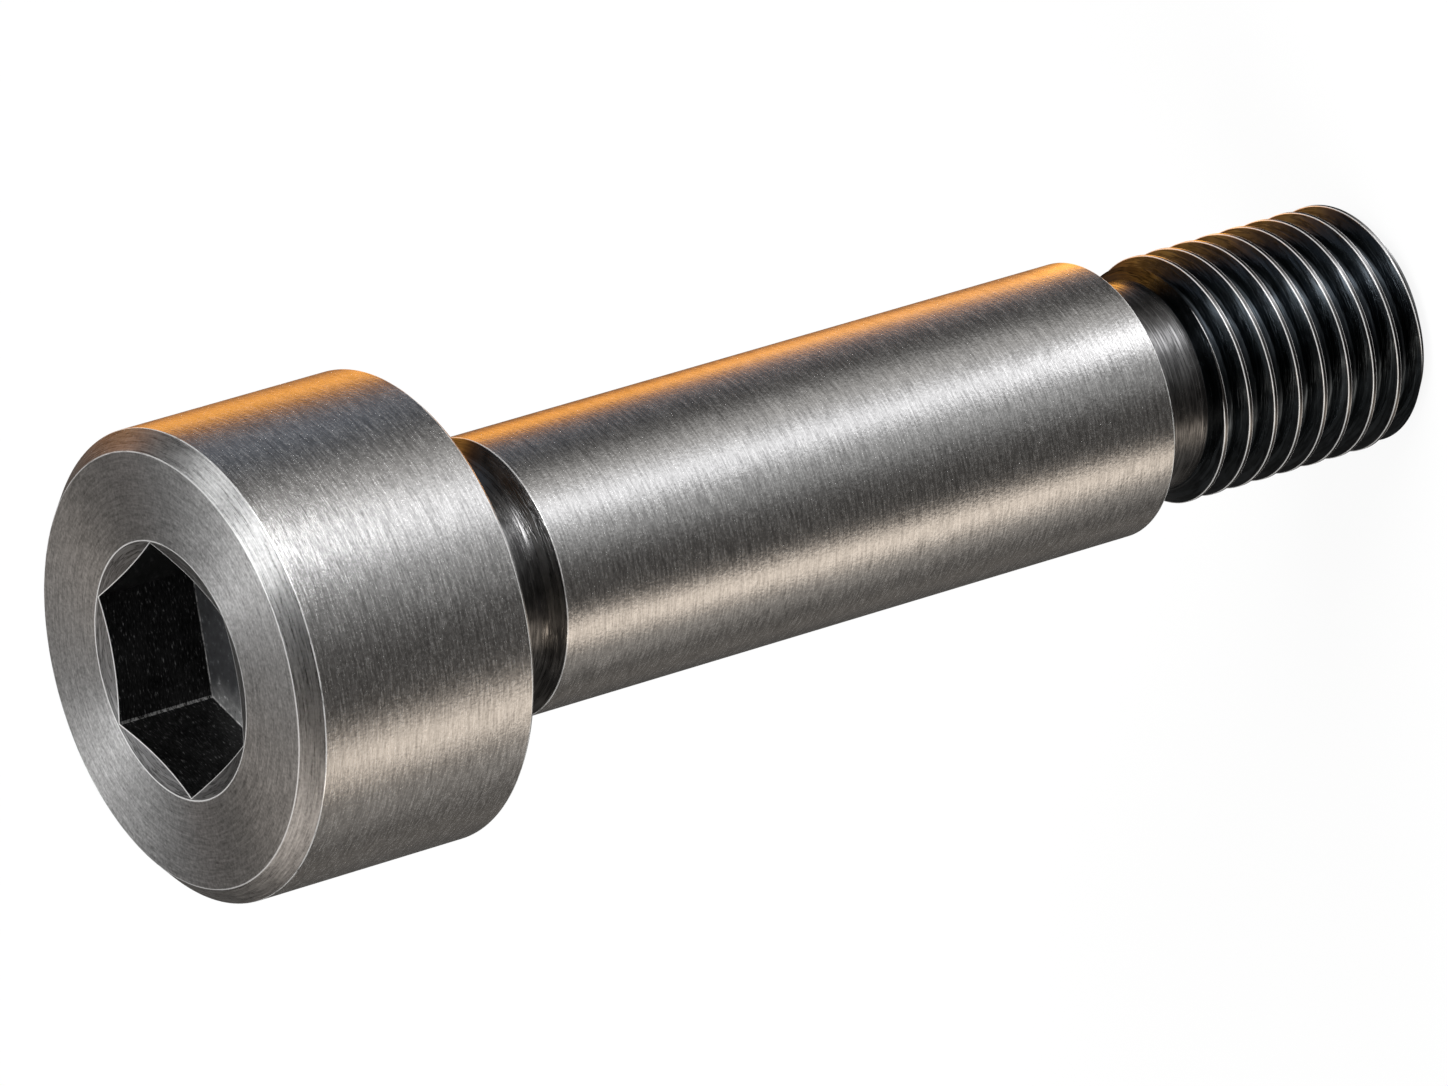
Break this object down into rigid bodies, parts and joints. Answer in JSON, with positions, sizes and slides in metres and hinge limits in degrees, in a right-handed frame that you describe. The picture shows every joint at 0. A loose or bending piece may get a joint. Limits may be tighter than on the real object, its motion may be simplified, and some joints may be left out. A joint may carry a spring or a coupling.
{
  "type": "shoulder bolt",
  "caption": "Socket head shoulder bolt with a ground shoulder, an undercut beneath the head, a neck and a coarse metric thread, standing on its threaded end.",
  "frame": {"origin": "centre of the flat face at the threaded end, on which the bolt stands, which is also the middle of the underside of its bounding box", "axes": "+Z along the bolt's axis from the threaded end up to the head; two corners of the hexagon socket point along +X and -X"},
  "size_m": [0.03, 0.03, 0.0922],
  "materials": {
    "steel": "bare alloy steel: fine ground head and shoulder, turned head face, darker turned undercut, neck and thread"
  },
  "bodies": {
    "root": {"shoulder_bolt": "steel"}
  },
  "joints": []
}
